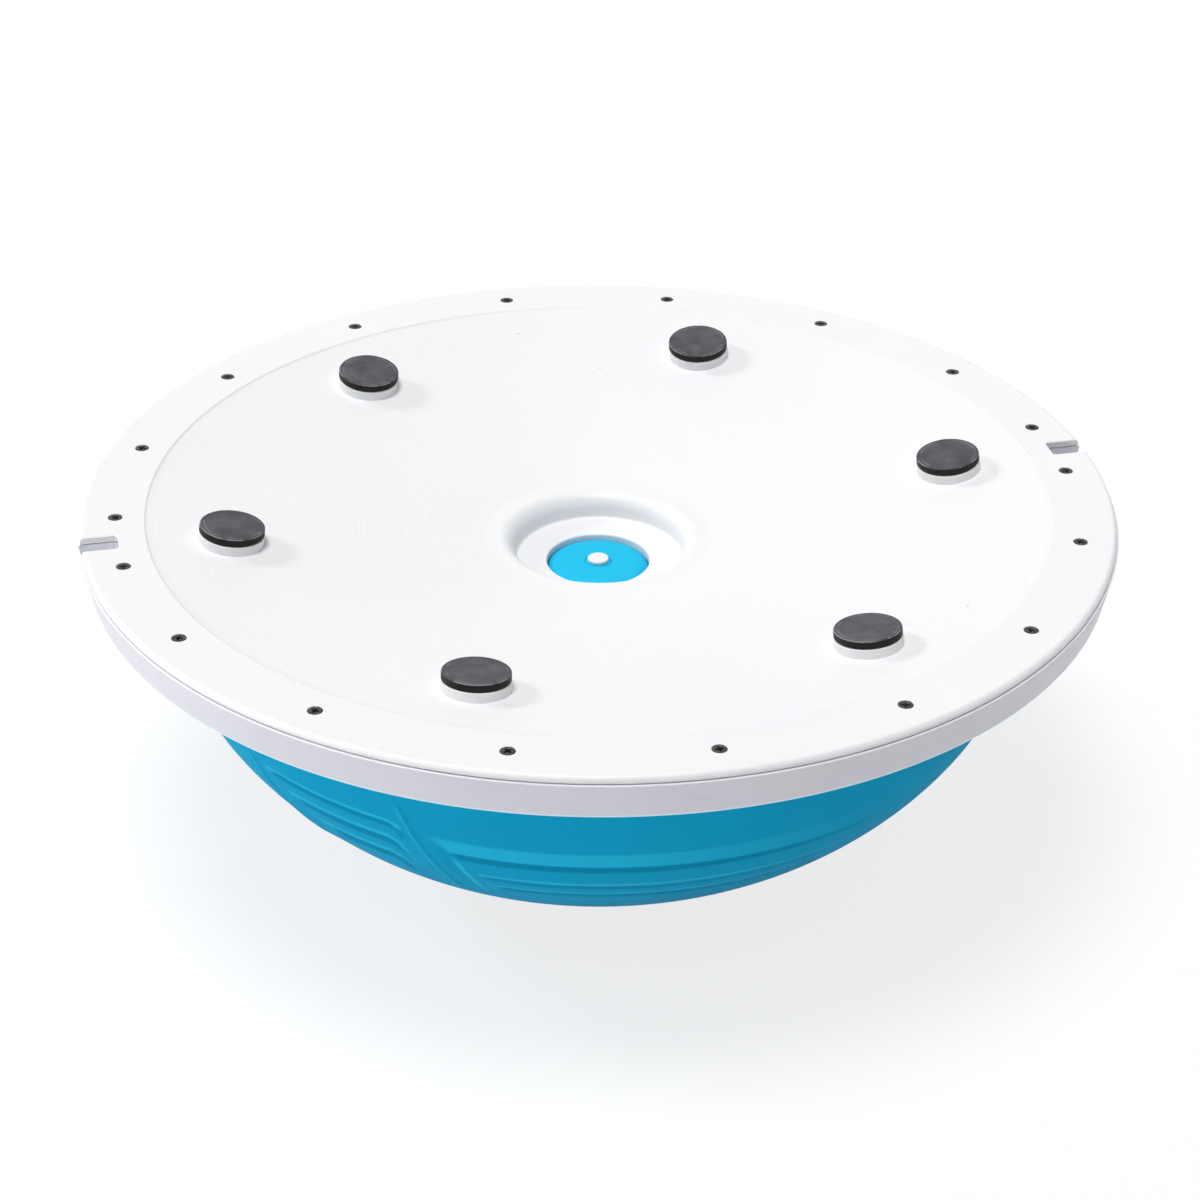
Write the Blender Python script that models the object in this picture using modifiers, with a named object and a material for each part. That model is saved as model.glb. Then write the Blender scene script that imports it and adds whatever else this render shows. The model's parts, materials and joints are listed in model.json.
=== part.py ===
"""Half ball balance trainer, resting on its air bladder with the base plate facing up.

Units are metres and +Z is up. The origin is the middle of the flat patch on which the inflated
bladder rests. The two notches in the rim lie on the X axis.
"""

import math

import bmesh
import bpy
from mathutils import Matrix, Vector

# Whole trainer
rim_radius = 0.292
fit_gap = 0.0003

# Air bladder: half an ellipsoid, closed by a membrane that follows the base plate
dome_inset = 0.041
dome_depth = 0.190
rest_flattening = 0.0025
bladder_wall = 0.0026
bead_clearance = 0.0034
membrane_bulge = 0.0050

# Clamp ring: an L-shaped band, drawn in towards its foot, that holds the bladder's bead
# against the base plate
band_height = 0.0219
ring_wall = 0.003
ring_floor = 0.003
ring_fillet = 0.003
ring_draft = 0.004
ring_lip_rounding = 0.0006
ring_bore_gap = 0.0006
ring_drop = 0.0019
seam_gap = 0.0005

# Base plate: flange, dish, central recess and the hole that shows the valve
plate_inset = 0.0012
plate_edge_rounding = 0.0028
flange_thickness = 0.0039
plate_wall = 0.003
flange_width = 0.037
dish_step = 0.0005
dish_drop = 0.0289
recess_radius = 0.048
recess_depth = 0.0121
recess_rim_rounding = 0.006
recess_fillet = 0.0015
recess_floor_fall = 0.001
hole_radius = 0.0294
hole_rounding = 0.0025
collar_height = 0.0065
collar_wall = 0.0036

# Ribs under the base plate
rib_count = 12
rib_thickness = 0.0024
ring_rib_radius = 0.140
clamp_rib_inset = 0.0055
clamp_rib_thickness = 0.0035
clamp_rib_height = 0.0064

# Rubber feet and the moulded pedestals that carry them, both square to the sloping dish
foot_count = 6
foot_inset = 0.0464
foot_radius = 0.0181
foot_thickness = 0.0045
foot_rounding = 0.0012
pedestal_height = 0.0056
pedestal_margin = 0.0003
peg_radius = 0.0036
barb_radius = 0.0052
barb_tip_radius = 0.0022
barb_length = 0.004

# Countersunk self-tapping screws
screw_inset = 0.021
notch_screw_angle = math.radians(6)
second_screw_angle = math.radians(24)
screws_between = 6
screw_head_radius = 0.004
screw_shank_radius = 0.002
screw_length = 0.016
screw_point = 0.003
screw_head_sink = 0.00015
screw_clearance = 0.00042
boss_wall = 0.0026
gusset_thickness = 0.002

# Notches in the rim
notch_width = 0.015
notch_depth = 0.022
notch_corner = 0.002
notch_wall = 0.0035

# Valve seat in the membrane, and the plug that closes it
seat_wall = 0.0032
seat_flange_reach = 0.0068
seat_flange_thickness = 0.002
seat_length = 0.019
plug_head_radius = 0.006
plug_head_thickness = 0.002
plug_head_rounding = 0.0006
plug_shaft_radius = 0.0033
plug_ring_rise = 0.0004
plug_ring_height = 0.0016
plug_ring_count = 3
plug_length = 0.0165
plug_tip_radius = 0.0023

# Facets
round_steps = 48
dome_steps = 10
foot_steps = 16
screw_steps = 8
valve_steps = 16
rounding_steps = 2
bulge_steps = 2
notch_corner_steps = 3

# Radii, worked in from the rim and out from the plug
plate_radius = rim_radius - plate_inset
dish_outer_radius = rim_radius - flange_width
screw_circle_radius = rim_radius - screw_inset
notch_floor_radius = rim_radius - notch_depth
foot_circle_radius = dish_outer_radius - foot_inset
dish_slope = math.atan2(dish_drop, dish_outer_radius - recess_radius)
pedestal_radius = foot_radius + pedestal_margin
boss_radius = screw_shank_radius + boss_wall
dome_radius = rim_radius - dome_inset
ring_bore_radius = dome_radius + ring_bore_gap
bead_radius = screw_circle_radius - boss_radius - bead_clearance
clamp_rib_outer = bead_radius - clamp_rib_inset
clamp_rib_inner = clamp_rib_outer - clamp_rib_thickness
recess_outer_radius = recess_radius + plate_wall
plug_ring_radius = plug_shaft_radius + plug_ring_rise
seat_bore_radius = plug_ring_radius + fit_gap
seat_neck_radius = seat_bore_radius + seat_wall
seat_flange_radius = seat_neck_radius + seat_flange_reach

# Heights of the stack, worked up from the floor
dome_rest_height = dome_depth - rest_flattening
ring_bottom_z = dome_rest_height - ring_drop
ring_floor_z = ring_bottom_z + ring_floor
ring_top_z = ring_bottom_z + band_height
flange_under_z = ring_top_z + seam_gap
flange_top_z = flange_under_z + flange_thickness
clamp_rib_z = flange_under_z - clamp_rib_height
recess_floor_z = flange_top_z - dish_step - dish_drop - recess_depth
collar_z = recess_floor_z - collar_height
membrane_z = collar_z - fit_gap + membrane_bulge


def clear_scene():
    """Remove every object of the startup scene."""
    for obj in list(bpy.data.objects):
        bpy.data.objects.remove(obj, do_unlink=True)


def make_collection(name):
    """Add a collection to the scene."""
    collection = bpy.data.collections.new(name)
    bpy.context.scene.collection.children.link(collection)
    return collection


def make_material(name, colour, roughness, metallic=0.0):
    """Make a plain Principled material."""
    material = bpy.data.materials.new(name)
    material.use_nodes = True
    shader = material.node_tree.nodes["Principled BSDF"]
    shader.inputs["Base Color"].default_value = (*colour, 1.0)
    shader.inputs["Roughness"].default_value = roughness
    shader.inputs["Metallic"].default_value = metallic
    return material


def add_object(name, mesh, collection, material=None, location=(0, 0, 0), turn=0.0, lean=0.0):
    """Link a mesh into a collection as a named object, leant towards the axis and turned about Z."""
    obj = bpy.data.objects.new(name, mesh)
    obj.location = location
    obj.rotation_euler = (0, -lean, turn)
    if material and not mesh.materials:
        mesh.materials.append(material)
    collection.objects.link(obj)
    return obj


def arc(centre, radius, start, end, steps=rounding_steps):
    """Points of a round stretch of a profile, between two angles in degrees."""
    points = []
    for i in range(steps + 1):
        angle = math.radians(start + (end - start) * i / steps)
        points.append((centre[0] + radius * math.cos(angle), centre[1] + radius * math.sin(angle)))
    return points


def profile_mesh(name, profile, closed):
    """A mesh with only the edges of a profile, given as radius and height."""
    mesh = bpy.data.meshes.new(name)
    form = bmesh.new()
    corners = [form.verts.new((radius, 0, height)) for radius, height in profile]
    for first, second in zip(corners, corners[1:]):
        form.edges.new((first, second))
    if closed:
        form.edges.new((corners[-1], corners[0]))
    form.to_mesh(mesh)
    form.free()
    return mesh


def add_turning(obj, steps):
    """Turn an object's profile about its Z axis."""
    screw = obj.modifiers.new("turned", "SCREW")
    screw.steps = steps
    screw.render_steps = steps
    screw.use_merge_vertices = True
    screw.merge_threshold = 0.00001
    screw.use_smooth_shade = True


def turned(name, profile, closed, steps, collection, material=None, location=(0, 0, 0)):
    """A turned solid from its profile."""
    obj = add_object(name, profile_mesh(name, profile, closed), collection, material, location)
    add_turning(obj, steps)
    return obj


def as_cutter(obj):
    """Keep a helper solid out of the finished part."""
    obj.hide_render = True
    obj.display_type = "WIRE"


def cylinder_cutter(name, radius, bottom, top, centre, collection, steps=foot_steps):
    """A plain upright cylinder between two heights."""
    mesh = bpy.data.meshes.new(name)
    form = bmesh.new()
    bmesh.ops.create_cone(
        form,
        cap_ends=True,
        segments=steps,
        radius1=radius,
        radius2=radius,
        depth=top - bottom,
    )
    form.to_mesh(mesh)
    form.free()
    middle = (centre[0], centre[1], (top + bottom) / 2)
    obj = add_object(name, mesh, collection, location=middle)
    as_cutter(obj)
    return obj


def slab_cutter(name, outline, thickness, turn, collection):
    """A slab whose outline, in radius and height, stands upright along a radius."""
    mesh = bpy.data.meshes.new(name)
    form = bmesh.new()
    corners = [form.verts.new((radius, thickness / 2, height)) for radius, height in outline]
    face = form.faces.new(corners)
    pushed = bmesh.ops.extrude_face_region(form, geom=[face])
    moved = [item for item in pushed["geom"] if isinstance(item, bmesh.types.BMVert)]
    bmesh.ops.translate(form, verts=moved, vec=Vector((0, -thickness, 0)))
    bmesh.ops.recalc_face_normals(form, faces=form.faces)
    form.to_mesh(mesh)
    form.free()
    obj = add_object(name, mesh, collection, turn=turn)
    as_cutter(obj)
    return obj


def add_boolean(obj, name, operation, collection):
    """Join or cut an object with everything in a collection."""
    step = obj.modifiers.new(name, "BOOLEAN")
    step.operation = operation
    step.operand_type = "COLLECTION"
    step.collection = collection
    step.solver = "EXACT"


def on_circle(radius, angle):
    """The point of a circle at an angle."""
    return radius * math.cos(angle), radius * math.sin(angle)


def dish_z(radius):
    """Height of the dished face at a radius."""
    share = (dish_outer_radius - radius) / (dish_outer_radius - recess_radius)
    return flange_top_z - dish_step - dish_drop * share


def rib_z(radius):
    """Height of the ribs' lower edges, on which the membrane bears."""
    if radius <= recess_outer_radius:
        return collar_z
    share = (radius - recess_outer_radius) / (clamp_rib_inner - recess_outer_radius)
    return collar_z + (clamp_rib_z - collar_z) * share


def foot_angles():
    """Angles of the feet, from the first notch round."""
    return [math.tau * i / foot_count for i in range(foot_count)]


def above_dish(angle, lift):
    """The point of a foot's leaning axis at a distance above the dish."""
    radius = foot_circle_radius - lift * math.sin(dish_slope)
    height = dish_z(foot_circle_radius) + lift * math.cos(dish_slope)
    return (*on_circle(radius, angle), height)


def foot_cutter(name, radius, bottom, top, angle, collection, steps=foot_steps):
    """A plain cylinder square to the dish, between two distances above it."""
    cutter = cylinder_cutter(name, radius, bottom, top, (0, 0), collection, steps)
    cutter.location = above_dish(angle, (bottom + top) / 2)
    cutter.rotation_euler = (0, -dish_slope, angle)


def screw_angles():
    """Angles of the screws: closer beside the notches, even between them."""
    pitch = (math.pi - 2 * second_screw_angle) / screws_between
    half = [notch_screw_angle]
    half += [second_screw_angle + pitch * i for i in range(screws_between + 1)]
    half += [math.pi - notch_screw_angle]
    return half + [angle + math.pi for angle in half]


def screw_head_depth():
    """Height of the countersunk cone."""
    return screw_head_radius - screw_shank_radius


def plate_profile():
    """Section of the base plate: up the hole, out along the face, back along the underside."""
    slope = math.degrees(dish_slope)
    rim_x = recess_radius + recess_rim_rounding
    touch_x = rim_x - recess_rim_rounding * math.sin(dish_slope)
    rim_z = dish_z(touch_x) - recess_rim_rounding * math.cos(dish_slope)
    hole_top_z = recess_floor_z - recess_floor_fall
    points = [(hole_radius, collar_z)]
    points += arc(
        (hole_radius + hole_rounding, hole_top_z - hole_rounding), hole_rounding, 180, 90
    )
    points += arc(
        (recess_radius - recess_fillet, recess_floor_z + recess_fillet), recess_fillet, -90, 0, 1
    )
    points += arc((rim_x, rim_z), recess_rim_rounding, 180, 90 + slope, rounding_steps + 1)
    points.append((dish_outer_radius - dish_step, dish_z(dish_outer_radius - dish_step)))
    points.append((dish_outer_radius, flange_top_z))
    points += arc(
        (plate_radius - plate_edge_rounding, flange_top_z - plate_edge_rounding),
        plate_edge_rounding,
        90,
        0,
    )
    points.append((plate_radius, flange_under_z))
    points.append((clamp_rib_outer, flange_under_z))
    points.append((clamp_rib_outer, clamp_rib_z))
    points.append((clamp_rib_inner, clamp_rib_z))
    points.append((clamp_rib_inner, dish_z(clamp_rib_inner) - plate_wall))
    points.append((recess_outer_radius, dish_z(recess_outer_radius) - plate_wall))
    points.append((recess_outer_radius, recess_floor_z - plate_wall))
    points.append((hole_radius + collar_wall, recess_floor_z - plate_wall))
    points.append((hole_radius + collar_wall, collar_z))
    return points


def add_plate_ribs(collection):
    """Radial stiffening ribs under the dish, and one ring rib that ties them."""
    inner = recess_radius + plate_wall / 2
    outer = clamp_rib_inner + clamp_rib_thickness / 2
    inside = plate_wall / 2
    outline = [
        (inner, collar_z),
        (outer, clamp_rib_z + fit_gap),
        (outer, dish_z(outer) - inside),
        (inner, dish_z(inner) - inside),
    ]
    for i in range(rib_count):
        turn = math.tau * (i + 0.5) / rib_count
        slab_cutter(f"radial_rib_{i + 1}", outline, rib_thickness, turn, collection)
    low = ring_rib_radius - rib_thickness / 2
    high = ring_rib_radius + rib_thickness / 2
    bottom = rib_z(high)
    section = [
        (low, bottom),
        (low, dish_z(low) - inside),
        (high, dish_z(high) - inside),
        (high, bottom),
    ]
    as_cutter(turned("ring_rib", section, True, round_steps, collection))


def add_pedestals(collection):
    """The bosses that lift the feet above the dish."""
    buried = -plate_wall / 2
    for i, angle in enumerate(foot_angles(), start=1):
        foot_cutter(f"pedestal_{i}", pedestal_radius, buried, pedestal_height, angle, collection)


def add_pedestal_cuts(collection):
    """The hollow under each pedestal and the hole for the foot's peg."""
    hollow_radius = pedestal_radius - plate_wall
    roof = pedestal_height - plate_wall
    for i, angle in enumerate(foot_angles(), start=1):
        foot_cutter(f"hollow_{i}", hollow_radius, -2 * plate_wall, roof, angle, collection)
        foot_cutter(
            f"peg_hole_{i}",
            peg_radius + fit_gap,
            roof - plate_wall,
            pedestal_height + plate_wall,
            angle,
            collection,
            screw_steps,
        )


def add_countersinks(collection):
    """Countersunk clearance holes for the screws, through the flange."""
    head = screw_head_radius + screw_clearance + screw_head_sink
    shank = screw_shank_radius + screw_clearance
    cone_bottom = flange_top_z - (head - shank)
    past = flange_thickness
    section = [
        (0, flange_top_z + past),
        (head, flange_top_z + past),
        (head, flange_top_z),
        (shank, cone_bottom),
        (shank, flange_under_z - past),
        (0, flange_under_z - past),
    ]
    for i, angle in enumerate(screw_angles(), start=1):
        x, y = on_circle(screw_circle_radius, angle)
        cutter = turned(
            f"countersink_{i}", section, False, screw_steps, collection, location=(x, y, 0)
        )
        as_cutter(cutter)


def add_notch_cuts(name, bottom, top, collection):
    """Two slots, open to the rim, with rounded inner corners."""
    length = 2 * notch_depth
    for i in range(2):
        mesh = bpy.data.meshes.new(f"{name}_{i + 1}")
        form = bmesh.new()
        size = Matrix.Diagonal((length, notch_width, top - bottom, 1))
        bmesh.ops.create_cube(form, size=1, matrix=size)
        upright = [
            edge
            for edge in form.edges
            if edge.verts[0].co.x < 0
            and edge.verts[1].co.x < 0
            and abs(edge.verts[0].co.z - edge.verts[1].co.z) > (top - bottom) / 2
        ]
        bmesh.ops.bevel(
            form,
            geom=upright,
            offset=notch_corner,
            segments=notch_corner_steps,
            profile=0.5,
            affect="EDGES",
            material=-1,
        )
        form.to_mesh(mesh)
        form.free()
        side = 1 - 2 * i
        place = (side * (notch_floor_radius + length / 2), 0, (top + bottom) / 2)
        cutter = add_object(mesh.name, mesh, collection, location=place, turn=math.pi * i)
        as_cutter(cutter)


def make_base_plate(parts, helpers, material):
    """The moulded cover: flange, dish, recess, pedestals, ribs and holes."""
    plate = turned("base_plate", plate_profile(), True, round_steps, parts, material)
    joined = bpy.data.collections.new("plate_joined")
    cut = bpy.data.collections.new("plate_cut")
    helpers.children.link(joined)
    helpers.children.link(cut)
    add_plate_ribs(joined)
    add_pedestals(joined)
    add_pedestal_cuts(cut)
    add_countersinks(cut)
    add_notch_cuts("plate_notch", flange_under_z - notch_wall, flange_top_z + notch_wall, cut)
    add_boolean(plate, "ribs and pedestals", "UNION", joined)
    add_boolean(plate, "holes and notches", "DIFFERENCE", cut)
    return plate


def ring_profile():
    """Section of the clamp ring, from the top of its band round the outside."""
    band_foot_radius = rim_radius - ring_draft
    points = [(rim_radius - ring_wall, ring_top_z)]
    points += arc(
        (rim_radius - ring_lip_rounding, ring_top_z - ring_lip_rounding),
        ring_lip_rounding,
        90,
        0,
        1,
    )
    points += arc(
        (band_foot_radius - ring_fillet, ring_bottom_z + ring_fillet), ring_fillet, 0, -90
    )
    points.append((ring_bore_radius, ring_bottom_z))
    points.append((ring_bore_radius, ring_floor_z))
    points.append((band_foot_radius - ring_wall, ring_floor_z))
    return points


def boss_bottom_z():
    """Height inside the ring's floor where the bosses root."""
    return ring_bottom_z + ring_floor / 2


def add_ring_bosses(collection):
    """A boss for each screw, tied to the band by a gusset."""
    root_z = boss_bottom_z()
    band_middle = rim_radius - ring_wall / 2
    outline = [
        (screw_circle_radius, root_z),
        (band_middle - ring_draft, root_z),
        (band_middle, ring_top_z - ring_wall),
        (screw_circle_radius, ring_top_z - ring_wall),
    ]
    for i, angle in enumerate(screw_angles(), start=1):
        centre = on_circle(screw_circle_radius, angle)
        cylinder_cutter(
            f"boss_{i}", boss_radius, root_z, ring_top_z, centre, collection, screw_steps
        )
        slab_cutter(f"gusset_{i}", outline, gusset_thickness, angle, collection)


def add_notch_walls(collection):
    """The box of wall round each notch in the ring."""
    band_middle = rim_radius - ring_wall / 2
    outline = [
        (notch_floor_radius - notch_wall, boss_bottom_z()),
        (band_middle - ring_draft, boss_bottom_z()),
        (band_middle, ring_top_z),
        (notch_floor_radius - notch_wall, ring_top_z),
    ]
    width = notch_width + 2 * notch_wall
    for i in range(2):
        slab_cutter(f"notch_wall_{i + 1}", outline, width, math.pi * i, collection)


def screw_tip_z():
    """Height of the screws' points."""
    return flange_top_z - screw_head_sink - screw_length


def add_pilot_holes(collection):
    """The blind holes that the screws bite into."""
    bottom = screw_tip_z() - fit_gap
    for i, angle in enumerate(screw_angles(), start=1):
        centre = on_circle(screw_circle_radius, angle)
        cylinder_cutter(
            f"pilot_{i}",
            screw_shank_radius + fit_gap,
            bottom,
            ring_top_z + ring_wall,
            centre,
            collection,
            screw_steps,
        )


def make_clamp_ring(parts, helpers, material):
    """The rim band with its bosses, pilot holes and notches."""
    ring = turned("clamp_ring", ring_profile(), True, round_steps, parts, material)
    joined = bpy.data.collections.new("ring_joined")
    cut = bpy.data.collections.new("ring_cut")
    helpers.children.link(joined)
    helpers.children.link(cut)
    add_ring_bosses(joined)
    add_notch_walls(joined)
    add_pilot_holes(cut)
    add_notch_cuts("ring_notch", ring_bottom_z - notch_wall, ring_top_z + notch_wall, cut)
    add_boolean(ring, "bosses and notch walls", "UNION", joined)
    add_boolean(ring, "pilot holes and notches", "DIFFERENCE", cut)
    return ring


def bulge_z(radius):
    """Height of the membrane where it swells up into the plate's hole."""
    return membrane_z - membrane_bulge * (radius / hole_radius) ** 2


def dome_curve(wall):
    """The dome's side from its widest circle down to the flat patch on the floor."""
    across = dome_radius - wall
    down = dome_depth - wall
    last = math.asin((dome_rest_height - wall) / down)
    points = []
    for i in range(dome_steps + 1):
        angle = last * i / dome_steps
        points.append((across * math.cos(angle), dome_rest_height - down * math.sin(angle)))
    return points


def bladder_profile():
    """Section of the bladder: up its inside, out through the valve hole, down its outside."""
    hole = seat_neck_radius + fit_gap
    seat_radii = [hole + (hole_radius - hole) * i / bulge_steps for i in range(bulge_steps + 1)]
    top_z = clamp_rib_z - fit_gap
    under_z = ring_floor_z + fit_gap
    inner_radius = dome_radius - bladder_wall
    inside = list(reversed(dome_curve(bladder_wall)))
    points = [(0, bladder_wall)] + inside
    points.append((inner_radius, top_z - 2 * bladder_wall))
    points.append((inner_radius - bladder_wall, rib_z(inner_radius) - fit_gap - bladder_wall))
    points.append((recess_outer_radius, collar_z - fit_gap - bladder_wall))
    points += [(radius, bulge_z(radius) - bladder_wall) for radius in reversed(seat_radii)]
    points += [(radius, bulge_z(radius)) for radius in seat_radii]
    points.append((recess_outer_radius, collar_z - fit_gap))
    points.append((clamp_rib_inner, top_z))
    points.append((bead_radius, top_z))
    points.append((bead_radius, under_z))
    points.append((dome_radius, under_z))
    points += dome_curve(0)
    points.append((0, 0))
    return points


def seat_top_z():
    """Height of the valve seat's mouth, flush with the membrane."""
    return bulge_z(seat_neck_radius)


def seat_profile():
    """Section of the valve seat: neck, inner flange and tube round a straight bore."""
    top = seat_top_z()
    flange_top = bulge_z(seat_flange_radius) - bladder_wall - fit_gap
    flange_bottom = flange_top - seat_flange_thickness
    return [
        (seat_bore_radius, top),
        (seat_neck_radius, top),
        (seat_neck_radius, flange_top),
        (seat_flange_radius, flange_top),
        (seat_flange_radius, flange_bottom),
        (seat_neck_radius, flange_bottom),
        (seat_neck_radius, top - seat_length),
        (seat_bore_radius, top - seat_length),
    ]


def plug_profile():
    """Section of the plug, in heights from the underside of its head."""
    points = [(0, plug_head_thickness)]
    points += arc(
        (plug_head_radius - plug_head_rounding, plug_head_thickness - plug_head_rounding),
        plug_head_rounding,
        90,
        0,
        1,
    )
    points.append((plug_head_radius, 0))
    points.append((plug_shaft_radius, 0))
    pitch = plug_length / (plug_ring_count + 1)
    for i in range(plug_ring_count):
        middle = -pitch * (i + 1)
        points.append((plug_shaft_radius, middle + plug_ring_height / 2))
        points.append((plug_ring_radius, middle))
        points.append((plug_shaft_radius, middle - plug_ring_height / 2))
    points.append((plug_tip_radius, -plug_length))
    points.append((0, -plug_length))
    return points


def foot_profile():
    """Section of a foot, in heights from the underside of its pad."""
    top = foot_thickness
    shoulder = -plate_wall - 2 * fit_gap
    tip = shoulder - barb_length
    points = [(0, top)]
    points += arc((foot_radius - foot_rounding, top - foot_rounding), foot_rounding, 90, 0)
    points.append((foot_radius, 0))
    points.append((peg_radius, 0))
    points.append((peg_radius, shoulder))
    points.append((barb_radius, shoulder))
    points.append((barb_tip_radius, tip))
    points.append((0, tip))
    return points


def screw_profile():
    """Section of a screw, in heights from the flange's face."""
    top = -screw_head_sink
    neck = top - screw_head_depth()
    tip = top - screw_length
    return [
        (0, top),
        (screw_head_radius, top),
        (screw_shank_radius, neck),
        (screw_shank_radius, tip + screw_point),
        (0, tip),
    ]


def build():
    """Make every piece of the trainer."""
    clear_scene()
    parts = make_collection("half_ball_balance_trainer")
    helpers = make_collection("cutters")

    white = make_material("moulded_white", (0.86, 0.87, 0.88), 0.45)
    grey_white = make_material("rim_white", (0.80, 0.81, 0.83), 0.42)
    cyan = make_material("cyan_pvc", (0.02, 0.32, 0.52), 0.22)
    plug_white = make_material("plug_white", (0.85, 0.86, 0.86), 0.35)
    black = make_material("black_rubber", (0.03, 0.03, 0.032), 0.75)
    steel = make_material("black_steel", (0.06, 0.06, 0.065), 0.4, 1.0)

    trainer = bpy.data.objects.new("trainer", None)
    parts.objects.link(trainer)

    pieces = [
        make_base_plate(parts, helpers, white),
        make_clamp_ring(parts, helpers, grey_white),
        turned("bladder", bladder_profile(), False, round_steps, parts, cyan),
        turned("valve_seat", seat_profile(), True, valve_steps, parts, cyan),
    ]

    plug_place = (0, 0, seat_top_z() + fit_gap)
    plug = turned("plug", plug_profile(), False, valve_steps, parts, plug_white, plug_place)
    pieces.append(plug)

    foot_mesh = profile_mesh("foot", foot_profile(), False)
    for i, angle in enumerate(foot_angles(), start=1):
        place = above_dish(angle, pedestal_height + fit_gap)
        foot = add_object(f"foot_{i}", foot_mesh, parts, black, place, angle, dish_slope)
        add_turning(foot, foot_steps)
        pieces.append(foot)

    screw_mesh = profile_mesh("screw", screw_profile(), False)
    for i, angle in enumerate(screw_angles(), start=1):
        x, y = on_circle(screw_circle_radius, angle)
        place = (x, y, flange_top_z)
        screw = add_object(f"screw_{i:02d}", screw_mesh, parts, steel, place, angle)
        add_turning(screw, screw_steps)
        pieces.append(screw)

    for piece in pieces:
        piece.parent = trainer


build()
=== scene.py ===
"""Half ball balance trainer, dressed for the studio: dome down, white base plate up.

Every length is in metres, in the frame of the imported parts.
"""

import json
import math

import bmesh
import bpy
from mathutils import Matrix, Vector

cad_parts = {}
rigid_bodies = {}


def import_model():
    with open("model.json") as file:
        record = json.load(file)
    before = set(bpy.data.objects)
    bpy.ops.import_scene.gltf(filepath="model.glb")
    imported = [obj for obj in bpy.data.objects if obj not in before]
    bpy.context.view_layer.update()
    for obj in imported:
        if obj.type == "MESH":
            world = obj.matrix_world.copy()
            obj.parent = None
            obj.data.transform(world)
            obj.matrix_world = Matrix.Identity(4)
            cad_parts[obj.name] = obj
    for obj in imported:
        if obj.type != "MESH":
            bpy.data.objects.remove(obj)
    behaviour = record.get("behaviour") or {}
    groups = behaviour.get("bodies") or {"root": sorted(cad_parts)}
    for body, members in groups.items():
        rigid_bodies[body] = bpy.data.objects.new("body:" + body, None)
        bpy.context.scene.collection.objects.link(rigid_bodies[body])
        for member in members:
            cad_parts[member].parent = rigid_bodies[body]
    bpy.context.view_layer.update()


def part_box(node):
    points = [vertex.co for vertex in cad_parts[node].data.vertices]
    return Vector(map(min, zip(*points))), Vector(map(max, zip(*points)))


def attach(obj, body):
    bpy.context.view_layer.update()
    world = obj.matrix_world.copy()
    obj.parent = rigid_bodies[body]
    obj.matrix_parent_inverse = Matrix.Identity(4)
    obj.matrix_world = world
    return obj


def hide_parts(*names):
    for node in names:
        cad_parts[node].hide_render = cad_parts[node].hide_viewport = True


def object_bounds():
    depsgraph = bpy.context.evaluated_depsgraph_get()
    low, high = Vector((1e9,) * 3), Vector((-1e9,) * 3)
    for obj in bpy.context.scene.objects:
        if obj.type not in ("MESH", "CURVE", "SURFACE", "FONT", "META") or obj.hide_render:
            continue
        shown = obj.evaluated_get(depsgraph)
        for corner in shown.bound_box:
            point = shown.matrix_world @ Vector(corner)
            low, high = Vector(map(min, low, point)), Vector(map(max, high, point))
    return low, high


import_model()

# ---------------------------------------------------------------------------------------------
# Base plate: one moulding in satin white polypropylene, dished, and level round a deep recess with
# the valve hole. Fine grip rings and six pedestals for the feet stand on the dish, ribs stiffen it
# underneath, and eighteen countersunk holes and two notches sit in its flange.

tiny = 0.000001
fit_gap = 0.0003
flange_lift = 0.0044
plate_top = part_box("clamp_ring")[1].z + flange_lift
plate_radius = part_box("base_plate")[1].y
flange_depth = 0.0038
plate_edge = 0.0028
plate_skin = 0.003
plate_steps = 240
dish_radius = 0.255
dish_step = 0.0005
dish_drop = 0.0289
recess_radius = 0.048
recess_floor = plate_top - 0.0415
recess_fall = 0.001
recess_corner = 0.0015
recess_rounding = 0.009
level_radius = 0.064
hole_radius = 0.0294
hole_rounding = 0.001
collar_foot = plate_top - 0.048
collar_skin = 0.0036
clamp_rib_radii = (0.254, 0.2575)
clamp_rib_foot = plate_top - 0.0103
first_ring_radius = 0.068
ring_pitch = 0.0075
ring_count = 25
ring_height = 0.00008
ring_base = 0.0006
ring_crest = 0.0003
foot_circle = 0.2086
pedestal_radius = 0.0184
pedestal_height = 0.0056
pedestal_edge = 0.0008
pedestal_root = -0.008
peg_hole_radius = 0.0039
screw_circle = 0.271
countersink_radius = 0.0043
shank_hole_radius = 0.0024
rib_count = 12
rib_width = 0.0024
rib_bevel = 0.0022
ring_rib_radius = 0.140
notch_width = 0.015
notch_floor = 0.270
notch_corner = 0.002
notch_chamfer = 0.0005
notch_reach = 0.04
notch_clearance = 0.004

half_turn_of_screws = [6, 24, 46, 68, 90, 112, 134, 156, 174]
screw_angles = [math.radians(a + side) for side in (0, 180) for a in half_turn_of_screws]
out_to_screws = Matrix.Translation((screw_circle, 0, 0))
screw_places = [Matrix.Rotation(angle, 4, "Z") @ out_to_screws for angle in screw_angles]


def dish_height(radius):
    """Height of the dished face at a radius."""
    fall = dish_drop * (dish_radius - radius) / (dish_radius - recess_radius)
    return plate_top - dish_step - fall


level_height = dish_height(level_radius)
dish_lean = math.atan2(dish_drop, dish_radius - recess_radius)
foot_places = [
    Matrix.Rotation(math.tau * i / 6, 4, "Z")
    @ Matrix.Translation((foot_circle, 0, dish_height(foot_circle)))
    @ Matrix.Rotation(-dish_lean, 4, "Y")
    for i in range(6)
]


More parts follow.
